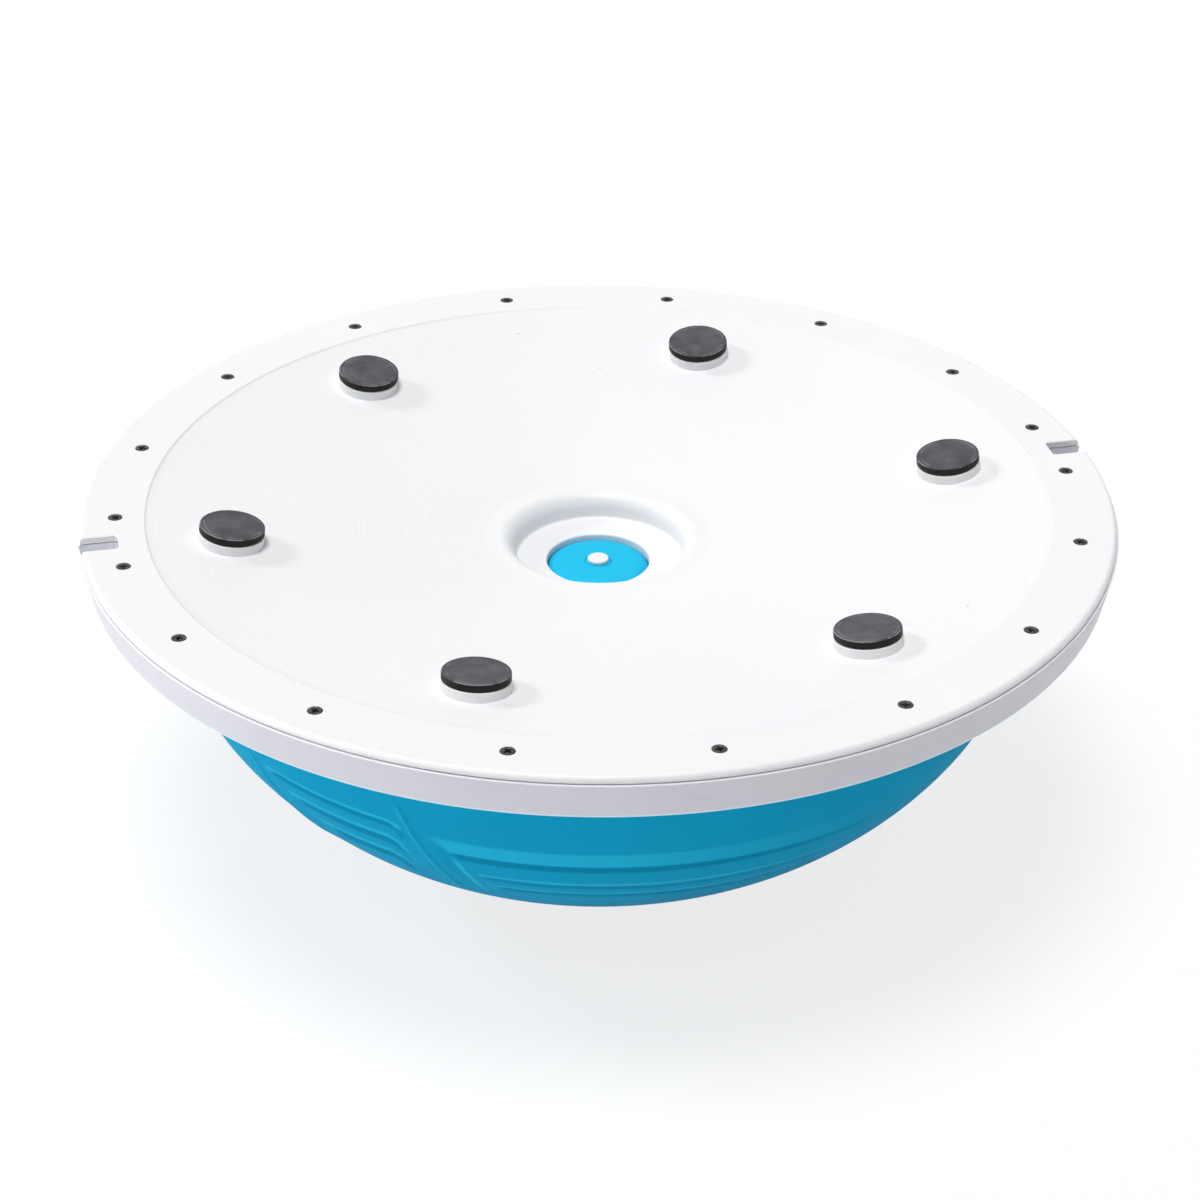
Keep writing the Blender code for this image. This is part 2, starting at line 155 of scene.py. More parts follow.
def draw_section(form, corners):
    """A closed section in the XZ plane, from corners given as radius, height, rounding, steps."""
    points = [form.verts.new((corner[0], 0, corner[1])) for corner in corners]
    for first, second in zip(points, points[1:] + points[:1]):
        form.edges.new((first, second))
    for point, corner in zip(points, corners):
        if len(corner) == 4:
            one, other = [edge.other_vert(point).co - point.co for edge in point.link_edges]
            bmesh.ops.bevel(
                form,
                geom=[point],
                offset=corner[2] * math.tan((math.pi - one.angle(other)) / 2),
                segments=corner[3],
                profile=0.5,
                affect="VERTICES",
                material=-1,
            )


def spin_section(form, steps, sectors=12):
    """Turn a section once round the Z axis: one sector first, then its copies, closed up."""
    about = {"cent": (0, 0, 0), "axis": (0, 0, 1)}
    sector = math.tau / sectors
    line = form.verts[:] + form.edges[:]
    bmesh.ops.spin(form, geom=line, angle=sector, steps=steps // sectors, **about)
    wedge = form.verts[:] + form.edges[:] + form.faces[:]
    rest = math.tau - sector
    bmesh.ops.spin(form, geom=wedge, angle=rest, steps=sectors - 1, use_duplicate=True, **about)
    bmesh.ops.remove_doubles(form, verts=form.verts[:], dist=tiny)
    bmesh.ops.recalc_face_normals(form, faces=form.faces[:])


def make_piece(form, name, sharp=30, group=None):
    """Turn a bmesh into a smooth-shaded object whose edges past an angle stay sharp."""
    mesh = bpy.data.meshes.new(name)
    form.to_mesh(mesh)
    form.free()
    mesh.shade_smooth()
    mesh.set_sharp_from_angle(angle=math.radians(sharp))
    piece = bpy.data.objects.new(name, mesh)
    (group or bpy.context.scene.collection).objects.link(piece)
    return piece


def tool_group(name):
    """A collection for the solids that a piece is joined or cut with."""
    group = bpy.data.collections.new(name)
    bpy.context.scene.collection.children.link(group)
    return group


def round_tool(name, radius, foot, top, place, group, segments=48, edge=0.0):
    """A cylinder from foot to top, its top edge rounded where asked, moved to a place."""
    form = bmesh.new()
    bmesh.ops.create_cone(
        form,
        cap_ends=True,
        segments=segments,
        radius1=radius,
        radius2=radius,
        depth=top - foot,
        matrix=Matrix.Translation((0, 0, (foot + top) / 2)),
    )
    if edge:
        upper = [e for e in form.edges if min(v.co.z for v in e.verts) > top - tiny]
        bmesh.ops.bevel(
            form, geom=upper, offset=edge, segments=6, profile=0.5, affect="EDGES", material=-1
        )
    bmesh.ops.transform(form, matrix=place, verts=form.verts[:])
    return make_piece(form, name, group=group)


def upright_slab(name, outline, width, angle, group):
    """A slab that stands along a radius, from an outline in radius and height."""
    form = bmesh.new()
    face = form.faces.new([form.verts.new((r, width / 2, z)) for r, z in outline])
    pushed = bmesh.ops.extrude_face_region(form, geom=[face])
    moved = [item for item in pushed["geom"] if isinstance(item, bmesh.types.BMVert)]
    bmesh.ops.translate(form, verts=moved, vec=(0, -width, 0))
    bmesh.ops.recalc_face_normals(form, faces=form.faces[:])
    bmesh.ops.rotate(form, verts=form.verts[:], matrix=Matrix.Rotation(angle, 3, "Z"))
    return make_piece(form, name, group=group)


def notch_tool(name, foot, top, chamfered, angle, group):
    """The shape of a rim notch: round inner corners, and a small chamfer at the face."""
    form = bmesh.new()
    size = Matrix.Diagonal((notch_reach, notch_width, top - foot, 1))
    place = Matrix.Translation((notch_floor + notch_reach / 2, 0, (foot + top) / 2))
    bmesh.ops.create_cube(form, size=1, matrix=place @ size)
    inner = [
        e
        for e in form.edges
        if max(v.co.x for v in e.verts) < notch_floor + tiny
        and abs(e.verts[0].co.z - e.verts[1].co.z) > tiny
    ]
    bmesh.ops.bevel(
        form, geom=inner, offset=notch_corner, segments=6, profile=0.5, affect="EDGES", material=-1
    )
    if chamfered:
        lid = max(form.faces, key=lambda f: f.calc_center_median().z)
        outer_end = Matrix.Translation((-notch_floor - notch_reach, 0, 0))
        for spread, lift in ((notch_chamfer, notch_chamfer), (0, notch_clearance)):
            pushed = bmesh.ops.extrude_face_region(form, geom=[lid])["geom"]
            form.faces.remove(lid)
            lid = next(item for item in pushed if isinstance(item, bmesh.types.BMFace))
            wider = (1 + spread / notch_reach, 1 + 2 * spread / notch_width, 1)
            bmesh.ops.scale(form, verts=lid.verts[:], vec=wider, space=outer_end)
            bmesh.ops.translate(form, verts=lid.verts[:], vec=(0, 0, lift))
    bmesh.ops.recalc_face_normals(form, faces=form.faces[:])
    bmesh.ops.rotate(form, verts=form.verts[:], matrix=Matrix.Rotation(angle, 3, "Z"))
    return make_piece(form, name, group=group)


def join_and_cut(piece, joined, cut, sharp=30):
    """Join a piece with one group of tools, cut it with another, and keep the result."""
    for group, operation in ((joined, "UNION"), (cut, "DIFFERENCE")):
        if group:
            step = piece.modifiers.new(operation.lower(), "BOOLEAN")
            step.operation = operation
            step.operand_type = "COLLECTION"
            step.collection = group
            step.solver = "MANIFOLD"
    bpy.context.view_layer.update()
    ready = piece.evaluated_get(bpy.context.evaluated_depsgraph_get())
    worked = bpy.data.meshes.new_from_object(ready)
    piece.modifiers.clear()
    piece.data = worked
    worked.materials.clear()
    worked.shade_smooth()
    worked.set_sharp_from_angle(angle=math.radians(sharp))
    for group in (joined, cut):
        if group:
            for tool in list(group.objects):
                bpy.data.objects.remove(tool, do_unlink=True)
            bpy.data.collections.remove(group)


def plate_corners():
    """The base plate's section, up the valve hole, out over the face and back underneath."""
    corners = [
        (hole_radius, collar_foot),
        (hole_radius, recess_floor - recess_fall, hole_rounding, 6),
        (hole_radius + 2 * hole_rounding, recess_floor - recess_fall * 0.9),
        (recess_radius - 0.0022, recess_floor - recess_fall * 0.1),
        (recess_radius, recess_floor, recess_corner, 5),
        (recess_radius, level_height, recess_rounding, 16),
        (recess_radius + recess_rounding + 0.0002, level_height),
        (level_radius, level_height, 0.03, 4),
    ]
    for i in range(ring_count):
        middle = first_ring_radius + ring_pitch * i
        for offset, rise in (
            (-ring_base / 2, 0),
            (-ring_crest / 2, ring_height),
            (ring_crest / 2, ring_height),
            (ring_base / 2, 0),
        ):
            corners.append((middle + offset, dish_height(middle + offset) + rise))
    under_clamp = dish_height(clamp_rib_radii[0]) - plate_skin
    corners += [
        (dish_radius - 0.0009, dish_height(dish_radius - 0.0009), 0.0003, 2),
        (dish_radius, plate_top, 0.0003, 3),
        (dish_radius + 0.001, plate_top),
        (plate_radius - plate_edge - 0.0006, plate_top),
        (plate_radius, plate_top, plate_edge, 10),
        (plate_radius, plate_top - flange_depth, 0.0003, 2),
        (clamp_rib_radii[1], plate_top - flange_depth),
        (clamp_rib_radii[1], clamp_rib_foot),
        (clamp_rib_radii[0], clamp_rib_foot),
        (clamp_rib_radii[0], under_clamp),
        (level_radius, level_height - plate_skin),
        (recess_radius + plate_skin, level_height - plate_skin, recess_rounding - plate_skin, 8),
        (recess_radius + plate_skin, recess_floor - plate_skin),
        (hole_radius + collar_skin, recess_floor - plate_skin),
        (hole_radius + collar_skin, collar_foot),
    ]
    return corners


def rib_foot(radius):
    """Height of the ribs' lower edges, which the membrane bears on."""
    inner = recess_radius + plate_skin
    share = max((radius - inner) / (clamp_rib_radii[0] - inner), 0)
    return collar_foot + (clamp_rib_foot - collar_foot) * share


def add_plate_tools(joined, cut):
    """The ribs and pedestals that join the base plate, and what is cut out of it."""
    half_skin = plate_skin / 2
    inner = recess_radius + half_skin
    outer = clamp_rib_radii[0] + 0.001
    rib = [
        (inner, collar_foot),
        (outer, clamp_rib_foot + fit_gap),
        (outer, dish_height(outer) - half_skin),
        (recess_radius + recess_rounding, level_height - half_skin),
        (inner + rib_bevel, level_height - half_skin - rib_bevel),
        (inner, level_height - recess_rounding),
    ]
    for i in range(rib_count):
        upright_slab(f"rib_{i}", rib, rib_width, math.tau * (i + 0.5) / rib_count, joined)
    low = ring_rib_radius - rib_width / 2
    high = ring_rib_radius + rib_width / 2
    form = bmesh.new()
    draw_section(
        form,
        [
            (low, rib_foot(high)),
            (low, dish_height(low) - half_skin),
            (high, dish_height(high) - half_skin),
            (high, rib_foot(high)),
        ],
    )
    spin_section(form, plate_steps)
    make_piece(form, "ring_rib", group=joined)
    roof = pedestal_height - plate_skin
    for i, place in enumerate(foot_places):
        size = (pedestal_radius, -half_skin, pedestal_height)
        round_tool(f"pedestal_{i}", *size, place, joined, 72, pedestal_edge)
        size = (pedestal_radius - plate_skin, pedestal_root, roof)
        round_tool(f"hollow_{i}", *size, place, cut)
        size = (peg_hole_radius, roof - plate_skin, roof + 2 * plate_skin)
        round_tool(f"peg_hole_{i}", *size, place, cut, 32)
    cone_foot = plate_top - countersink_radius + shank_hole_radius
    past = flange_depth
    for i, place in enumerate(screw_places):
        form = bmesh.new()
        draw_section(
            form,
            [
                (0, plate_top + past),
                (countersink_radius, plate_top + past),
                (countersink_radius, plate_top),
                (shank_hole_radius, cone_foot),
                (shank_hole_radius, plate_top - flange_depth - past),
                (0, plate_top - flange_depth - past),
            ],
        )
        spin_section(form, 32, 4)
        bmesh.ops.transform(form, matrix=place, verts=form.verts[:])
        make_piece(form, f"countersink_{i}", group=cut)
    notch_span = (plate_top - flange_depth - plate_skin, plate_top - notch_chamfer)
    for i in range(2):
        notch_tool(f"notch_{i}", *notch_span, True, math.pi * i, cut)


def add_node(tree, kind, inputs=None, **options):
    """Add a shader node. Inputs are numbers, colours or sockets to link, by name or place."""
    node = tree.nodes.new(kind)
    for option, value in options.items():
        setattr(node, option, value)
    for key, value in (inputs or {}).items():
        if isinstance(value, bpy.types.NodeSocket):
            tree.links.new(value, node.inputs[key])
        else:
            node.inputs[key].default_value = value
    return node


def add_math(tree, operation, *values, clamp=False):
    """A Math node's result."""
    node = add_node(tree, "ShaderNodeMath", dict(enumerate(values)), operation=operation)
    node.use_clamp = clamp
    return node.outputs[0]


def add_range(tree, value, low, high, out_low=0.0, out_high=1.0, smooth=False):
    """A value taken from one range to another."""
    inputs = {"Value": value, "From Min": low, "From Max": high}
    inputs.update({"To Min": out_low, "To Max": out_high})
    kind = "SMOOTHSTEP" if smooth else "LINEAR"
    return add_node(tree, "ShaderNodeMapRange", inputs, interpolation_type=kind).outputs["Result"]


def add_mix(tree, share, first, second):
    """Two colours mixed by a share."""
    node = add_node(tree, "ShaderNodeMix", data_type="RGBA")
    for key, value in ((0, share), (6, first), (7, second)):
        if isinstance(value, bpy.types.NodeSocket):
            tree.links.new(value, node.inputs[key])
        elif key:
            node.inputs[key].default_value = (*value, 1)
        else:
            node.inputs[key].default_value = value
    return node.outputs[2]


def add_noise(tree, where, scale, detail, distortion=0.0):
    """A noise texture's value."""
    inputs = {"Vector": where, "Scale": scale, "Detail": detail, "Distortion": distortion}
    return add_node(tree, "ShaderNodeTexNoise", inputs).outputs["Fac"]


def add_marks(tree, colour, mask, share, mark):
    """A colour with marks in another, where a mask shows, at a share of its strength."""
    return add_mix(tree, add_math(tree, "MULTIPLY", mask, share), colour, mark)


def open_group(name, numbers, results):
    """A new shader node group that takes a Vector and some numbers."""
    group = bpy.data.node_groups.new(name, "ShaderNodeTree")
    group.interface.new_socket("Vector", in_out="INPUT", socket_type="NodeSocketVector")
    for label, value in numbers.items():
        socket = group.interface.new_socket(label, in_out="INPUT", socket_type="NodeSocketFloat")
        socket.default_value = value
    for label in results:
        group.interface.new_socket(label, in_out="OUTPUT", socket_type="NodeSocketFloat")
    given = group.nodes.new("NodeGroupInput").outputs
    return group, given, group.nodes.new("NodeGroupOutput").inputs


def build_moulded_skin():
    """Grain, slow colour change, hairline scratches and specks of a moulded surface."""
    numbers = {"Grain Scale": 900.0, "Mottle Scale": 9.0, "Scratch Scale": 16.0}
    results = ["Mottle", "Scratches", "Specks", "Grain"]
    tree, given, result = open_group("moulded_skin", numbers, results)
    where = given["Vector"]
    mottle = add_noise(tree, where, given["Mottle Scale"], 5.0)
    grain = add_noise(tree, where, given["Grain Scale"], 2.0)
    lines = add_noise(tree, where, given["Scratch Scale"], 1.5, 0.8)
    patches = add_noise(tree, where, 11.0, 2.0)
    cells = add_node(
        tree, "ShaderNodeTexVoronoi", {"Vector": where, "Scale": 48.0, "Randomness": 1.0}
    )
    off_line = add_math(tree, "ABSOLUTE", add_math(tree, "SUBTRACT", lines, 0.5))
    thin = add_range(tree, off_line, 0.0, 0.004, 1.0, 0.0)
    patch = add_range(tree, patches, 0.56, 0.66)
    pick = add_node(tree, "ShaderNodeSeparateColor", {0: cells.outputs["Color"]}).outputs[0]
    rare = add_math(tree, "GREATER_THAN", pick, 0.93)
    speck = add_range(tree, cells.outputs["Distance"], 0.03, 0.05, 1.0, 0.0)
    tree.links.new(add_range(tree, mottle, 0.32, 0.68), result["Mottle"])
    tree.links.new(add_math(tree, "MULTIPLY", thin, patch), result["Scratches"])
    tree.links.new(add_math(tree, "MULTIPLY", speck, rare), result["Specks"])
    tree.links.new(grain, result["Grain"])
    return tree


moulded_skin = build_moulded_skin()


def open_material(name):
    """A new material with its tree, its shader and the Object coordinates."""
    material = bpy.data.materials.new(name)
    material.use_nodes = True
    tree = material.node_tree
    shader = tree.nodes["Principled BSDF"]
    return material, tree, shader, tree.nodes.new("ShaderNodeTexCoord").outputs["Object"]


def place_skin(tree, where, scales):
    """The moulded skin group, placed in a material with that surface's own scales."""
    skin = add_node(tree, "ShaderNodeGroup")
    skin.node_tree = moulded_skin
    tree.links.new(where, skin.inputs["Vector"])
    for label, value in zip(("Grain Scale", "Mottle Scale", "Scratch Scale"), scales):
        skin.inputs[label].default_value = value
    return skin.outputs


def add_rough(tree, skin, low, high, scratched):
    """A roughness that follows the skin's mottle and rises in its scratches."""
    rough = add_range(tree, skin["Mottle"], 0.0, 1.0, low, high)
    return add_math(tree, "ADD", rough, add_math(tree, "MULTIPLY", skin["Scratches"], scratched))


def set_finish(tree, shader, colour, rough, height, strength, depth):
    """Give a shader its colour, its roughness and a fine bump of a strength and a depth."""
    tree.links.new(colour, shader.inputs["Base Color"])
    tree.links.new(rough, shader.inputs["Roughness"])
    inputs = {"Strength": strength, "Distance": depth, "Height": height}
    bump = add_node(tree, "ShaderNodeBump", inputs).outputs["Normal"]
    tree.links.new(bump, shader.inputs["Normal"])


def distance_from_axis(tree, where):
    """How far each point is from the trainer's axis."""
    flat = add_node(
        tree, "ShaderNodeVectorMath", {0: where, 1: (1, 1, 0)}, operation="MULTIPLY"
    ).outputs["Vector"]
    return add_node(tree, "ShaderNodeVectorMath", {0: flat}, operation="LENGTH").outputs["Value"]


def make_plate_white():
    """Satin white: cool mottle, hairlines, a few specks, and dust with painted shade in the dish's
    step.
    """
    material, tree, shader, where = open_material("plate_satin_white")
    skin = place_skin(tree, where, (1500.0, 7.0, 15.0))
    from_step = add_math(tree, "SUBTRACT", distance_from_axis(tree, where), dish_radius - 0.0008)
    from_step = add_math(tree, "ABSOLUTE", from_step)
    # Dust with painted shade: a grey line along the step round the dish, where the step's wall
    # falls into shade.
    step_dust_and_shade = add_range(tree, from_step, 0.0004, 0.0018, 0.4, 0.0, smooth=True)
    colour = add_mix(tree, skin["Mottle"], (0.872, 0.878, 0.890), (0.848, 0.856, 0.874))
    colour = add_marks(tree, colour, skin["Scratches"], 0.12, (0.60, 0.61, 0.64))
    colour = add_marks(tree, colour, skin["Specks"], 0.45, (0.36, 0.37, 0.40))
    colour = add_marks(tree, colour, step_dust_and_shade, 0.35, (0.62, 0.63, 0.66))
    rough = add_rough(tree, skin, 0.40, 0.50, 0.2)
    set_finish(tree, shader, colour, rough, skin["Grain"], 0.25, 0.00012)
    shader.inputs["IOR"].default_value = 1.45
    return material


form = bmesh.new()
draw_section(form, plate_corners())
spin_section(form, plate_steps)
platform = make_piece(form, "platform")
plate_joined = tool_group("plate_joined")
plate_cut = tool_group("plate_cut")
add_plate_tools(plate_joined, plate_cut)
join_and_cut(platform, plate_joined, plate_cut, sharp=20)
platform.data.materials.append(make_plate_white())
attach(platform, "trainer")
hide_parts("base_plate")

# ---------------------------------------------------------------------------------------------
# Clamp ring: the L-shaped rim band that nips the bladder's bead against the base plate, moulded in
# a slightly greyer white. Bosses with gussets stand inside it for the screws, and a box of wall
# runs round each notch. The screws hold it to the base plate.

band_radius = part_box("clamp_ring")[1].y
band_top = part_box("clamp_ring")[1].z
band_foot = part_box("clamp_ring")[0].z
band_draft = 0.0046
band_wall = 0.003
band_floor = band_foot + band_wall
band_lip = 0.0011
band_heel = 0.0036
band_heel_rounding = 0.003
band_bore = 0.2516
boss_radius = 0.0046
pilot_radius = 0.0023
pilot_foot = plate_top - 0.01645
gusset_width = 0.002
notch_wall = 0.0035


def band_side(height):
    """The band's outer radius at a height: it draws in towards its foot."""
    return band_radius - band_draft * (band_top - height) / (band_top - band_foot)


form = bmesh.new()
draw_section(
    form,
    [
        (band_radius - band_wall, band_top),
        (band_radius, band_top, 0.0006, 4),
        (band_side(band_top - band_lip), band_top - band_lip),
        (band_side(band_foot + band_heel), band_foot + band_heel),
        (band_side(band_foot), band_foot, band_heel_rounding, 10),
        (band_side(band_foot) - band_heel, band_foot),
        (band_bore, band_foot, 0.0008, 4),
        (band_bore, band_floor),
        (band_side(band_floor) - band_wall, band_floor, 0.001, 4),
    ],
)
spin_section(form, plate_steps)
rim_band = make_piece(form, "rim_band")
band_joined = tool_group("band_joined")
band_cut = tool_group("band_cut")
boss_root = band_foot + band_wall / 2
in_band = band_side(boss_root) - band_wall / 2
gusset_top = band_top - 0.003
gusset = [
    (screw_circle, boss_root),
    (in_band, boss_root),
    (band_side(gusset_top) - band_wall / 2, gusset_top),
    (screw_circle, gusset_top),
]
past_top = band_top + band_wall
for i, place in enumerate(screw_places):
    round_tool(f"boss_{i}", boss_radius, boss_root, band_top, place, band_joined, 32)
    upright_slab(f"gusset_{i}", gusset, gusset_width, screw_angles[i], band_joined)
    round_tool(f"pilot_{i}", pilot_radius, pilot_foot, past_top, place, band_cut, 24)
notch_box = [
    (notch_floor - notch_wall, boss_root),
    (in_band, boss_root),
    (band_radius - band_wall / 2, band_top),
    (notch_floor - notch_wall, band_top),
]
box_width = notch_width + 2 * notch_wall
for i in range(2):
    upright_slab(f"notch_box_{i}", notch_box, box_width, math.pi * i, band_joined)
    notch_tool(f"notch_{i}", band_foot - band_wall, past_top, False, math.pi * i, band_cut)
join_and_cut(rim_band, band_joined, band_cut)


def make_band_white():
    """The band's grey white: knocked near its foot, with a painted cyan bounce light along the
    foot's edge.
    """
    material, tree, shader, where = open_material("band_grey_white")
    skin = place_skin(tree, where, (1300.0, 10.0, 20.0))
    height = add_node(tree, "ShaderNodeSeparateXYZ", {0: where}).outputs["Z"]
    knocked = add_range(tree, height, band_foot + 0.0045, band_foot + 0.001, 0.0, 0.6, smooth=True)
    knocked = add_math(tree, "MULTIPLY", knocked, skin["Mottle"])
    # Painted bounce light: a pale cyan line along the foot's lower rounding, standing in for light
    # from the floor and the dome below.
    painted_cyan_bounce = add_range(tree, height, band_foot + 0.0026, band_foot + 0.0018, 0.0, 0.9)
    colour = add_mix(tree, skin["Mottle"], (0.780, 0.777, 0.840), (0.748, 0.746, 0.812))
    colour = add_marks(tree, colour, skin["Scratches"], 0.25, (0.50, 0.51, 0.55))
    colour = add_marks(tree, colour, skin["Specks"], 0.4, (0.32, 0.33, 0.36))
    colour = add_marks(tree, colour, knocked, 0.25, (0.58, 0.59, 0.62))
    colour = add_mix(tree, painted_cyan_bounce, colour, (0.76, 0.92, 0.97))
    rough = add_rough(tree, skin, 0.36, 0.48, 0.2)
    set_finish(tree, shader, colour, rough, skin["Grain"], 0.3, 0.00012)
    shader.inputs["IOR"].default_value = 1.45
    return material


rim_band.data.materials.append(make_band_white())
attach(rim_band, "trainer")
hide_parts("clamp_ring")

# ---------------------------------------------------------------------------------------------
# Bladder: the half ball, its bead and the membrane across its mouth, one skin of soft cyan vinyl,
# rotationally moulded and blown up hard. Stepped panels and thin ridges are moulded into its side,
# and the membrane swells up into the plate's hole.

dome_radius = 0.251
dome_depth = 0.190
equator = 0.1875
skin_wall = 0.0026
bead_radius = 0.263
bead_foot = band_floor + fit_gap
bead_top = clamp_rib_foot - fit_gap
bead_rounding = 0.0012
membrane_edge = collar_foot - fit_gap
membrane_rise = 0.0047
membrane_flatness = 12
valve_hole = 0.0075
dome_columns = 480
column_pitch = 360 / dome_columns

# Places on the dome's side are in degrees, round the axis or below the widest circle. A narrow and
# a wide panel take a third of the way round, and lean along it as they go down.
third_turn = 120.0
first_ridge = -154.58
narrow_panel = 25.5
lean = 0.16
panel_foot = 40.0
panel_fade = 9.0
wide_end = 95.0
wide_fade = 45.0
least_fade = 0.12

# A panel's first step: how far in from its ridges, how far below the widest circle, how much
# tighter the steps lie along the ridges, and how round their corners are.
narrow_place = (1.4, 15.8, 2.6, 5.0)
wide_place = (2.0, 17.5, 3.0, 2.0)

# Each step's distance in from the panel's edge, in degrees, and its depth in millimetres.
narrow_steps = [
    (0, 0), (1.0, 0.8), (1.9, 0.1), (4.6, 0.3), (6.2, 1.3),
    (7.6, 0.4), (10.2, 0.5), (12.6, 1.5), (14.0, 0.4),
]
wide_steps = [
    (0, 0), (4.7, 1.5), (5.5, 0.2), (9.9, 0.2), (11.2, 0.9),
    (12.2, 0.3), (14.0, 0.3), (15.2, 0.9), (16.2, 0.2),
]
ridge_lift = 0.0007
ridge_reach = 0.34
ridge_heads = (14.5, 10.5)
ridge_foot = panel_foot + 2
ridge_rise = 1.5
ridge_fall = 8.0
crown_rings = (56.0, 62.0, 68.0)
crown_reach = 0.9
gathered = 2.25
gathering = 1.8
relief_shading_span = 0.35
full_relief_shading = 0.00045
outside_from = 0.995


def open_at_axis(form):
    """Take a section's edge along the Z axis out, because a solid turned from it closes there."""
    for edge in [e for e in form.edges if max(v.co.x for v in e.verts) < tiny]:
        form.edges.remove(edge)


def swell(radius):
    """Height of the membrane inside the plate's hole."""
    return membrane_edge + membrane_rise * (1 - (radius / hole_radius) ** membrane_flatness)


def side_point(latitude, wall):
    """A point of the dome's section at a latitude in degrees below its widest circle."""
    angle = math.radians(latitude)
    across = (dome_radius - wall) * math.cos(angle)
    return across, equator - (dome_depth - wall) * math.sin(angle)


def bladder_corners():
    """The bladder's section: up inside the dome, over the membrane, down the bead and outside."""
    crown = math.degrees(math.asin(equator / dome_depth))
    inner_crown = math.degrees(math.asin((equator - skin_wall) / (dome_depth - skin_wall)))
    corners = [(0, skin_wall)]
    corners += [side_point(inner_crown * (1 - i / 12), skin_wall) for i in range(13)]
    inner = dome_radius - skin_wall
    corners += [
        (inner, bead_top - 2 * skin_wall),
        (inner - skin_wall, rib_foot(inner) - fit_gap - skin_wall),
        (recess_radius + plate_skin, membrane_edge - skin_wall),
    ]
    span = hole_radius - valve_hole
    radii = [valve_hole + span * math.sin(math.pi / 2 * i / 16) for i in range(17)]
    corners += [(radius, swell(radius) - skin_wall) for radius in reversed(radii)]
    corners += [(radius, swell(radius)) for radius in radii]
    corners += [
        (recess_radius + plate_skin, membrane_edge),
        (clamp_rib_radii[0], bead_top),
        (bead_radius, bead_top, bead_rounding, 3),
        (bead_radius, bead_foot, bead_rounding, 3),
        (dome_radius, bead_foot),
    ]
    # The rings of points lie close together only from 15 to 45 degrees, where the panels are.
    latitudes = [i * 1.25 for i in range(12)]
    latitudes += [15 + i * 0.3 for i in range(100)]
    latitudes += [45 + i * (crown - 45) / 30 for i in range(31)]
    corners += [side_point(latitude, 0) for latitude in latitudes]
    corners.append((0, 0))
    return corners


def draw_columns_in(degrees):
    """Gather the mesh's columns towards the nearest ridge, so that it gets a crisp crest."""
    third = (degrees - first_ridge) % third_turn
    for edge in (0.0, narrow_panel, third_turn):
        gap = third - edge
        if abs(gap) < gathered:
            nearer = gathered * (abs(gap) / gathered) ** gathering
            return degrees - gap + math.copysign(nearer, gap)
    return degrees


def sunk(steps, inwards):
    """How deep a panel's step is at a distance in from the panel's edge."""
    for (start, low), (end, high) in zip(steps, steps[1:]):
        if start <= inwards < end:
            return (low + (high - low) * (inwards - start) / (end - start)) / 1000
    return 0.0 if inwards < 0 else steps[-1][1] / 1000


def rounded_least(first, second, rounding):
    """The smaller of two values, eased where they cross, so that a panel's corners are round."""
    near = max(rounding - abs(first - second), 0) / rounding
    return min(first, second) - near * near * rounding / 4


def relief(degrees, latitude):
    """How far the dome stands out at a place: sunk steps in each panel, and a ridge between."""
    third = (degrees - first_ridge - lean * latitude) % third_turn
    fading = min((panel_foot - latitude) / panel_fade, 1)
    if third > narrow_panel:
        left, right, steps = narrow_panel, third_turn, wide_steps
        margin, top, tighter, rounding = wide_place
        fading = min(fading, max((wide_end - third) / wide_fade, least_fade))
    else:
        left, right, steps = 0.0, narrow_panel, narrow_steps
        margin, top, tighter, rounding = narrow_place
    from_side = min(third - left, right - third)
    inwards = rounded_least(latitude - top, (from_side - margin) * tighter, rounding)
    lift = -sunk(steps, inwards) * max(fading, 0)
    gap = min(third, abs(third - narrow_panel), third_turn - third)
    head = ridge_heads[abs(third - narrow_panel) < 2]
    if gap < ridge_reach and head < latitude < ridge_foot:
        ends = min((latitude - head) / ridge_rise, (ridge_foot - latitude) / ridge_fall, 1)
        lift = max(lift, ridge_lift * ends * (1 - gap / ridge_reach))
    for ring in crown_rings:
        lift = max(lift, ridge_lift * (1 - abs(latitude - ring) / crown_reach))
    return lift


form = bmesh.new()
draw_section(form, bladder_corners())
open_at_axis(form)
spin_section(form, dome_columns)
columns_start = (first_ridge / column_pitch) % 1 * column_pitch
# Painted light and shade for the relief: each point keeps how steeply the relief falls there, and
# the vinyl paints shade where it sinks and highlights where it rises.
painted_relief_shading = form.verts.layers.float.new("painted_relief_shading")
for vert in form.verts:
    x, y, z = vert.co
    reach = math.hypot(x, y)
    below = equator - z
    outside = reach * reach / dome_radius ** 2 + below * below / dome_depth ** 2 > outside_from
    if below < -tiny or not outside or reach < 100 * tiny:
        continue
    latitude = math.degrees(math.asin(min(below / dome_depth, 1)))
    degrees = math.degrees(math.atan2(y, x)) + columns_start
    degrees = draw_columns_in(degrees) + lean * latitude
    angle = math.radians(degrees)
    lift = relief(degrees, latitude)
    fall = relief(degrees, latitude - relief_shading_span) - relief(degrees, latitude + relief_shading_span)
    vert[painted_relief_shading] = max(min(fall / full_relief_shading, 1.0), -1.0)
    outward = Vector((reach / dome_radius ** 2, -below / dome_depth ** 2)).normalized()
    reach += outward.x * lift
    vert.co = (reach * math.cos(angle), reach * math.sin(angle), z + outward.y * lift)
half_ball = make_piece(form, "half_ball", sharp=60)


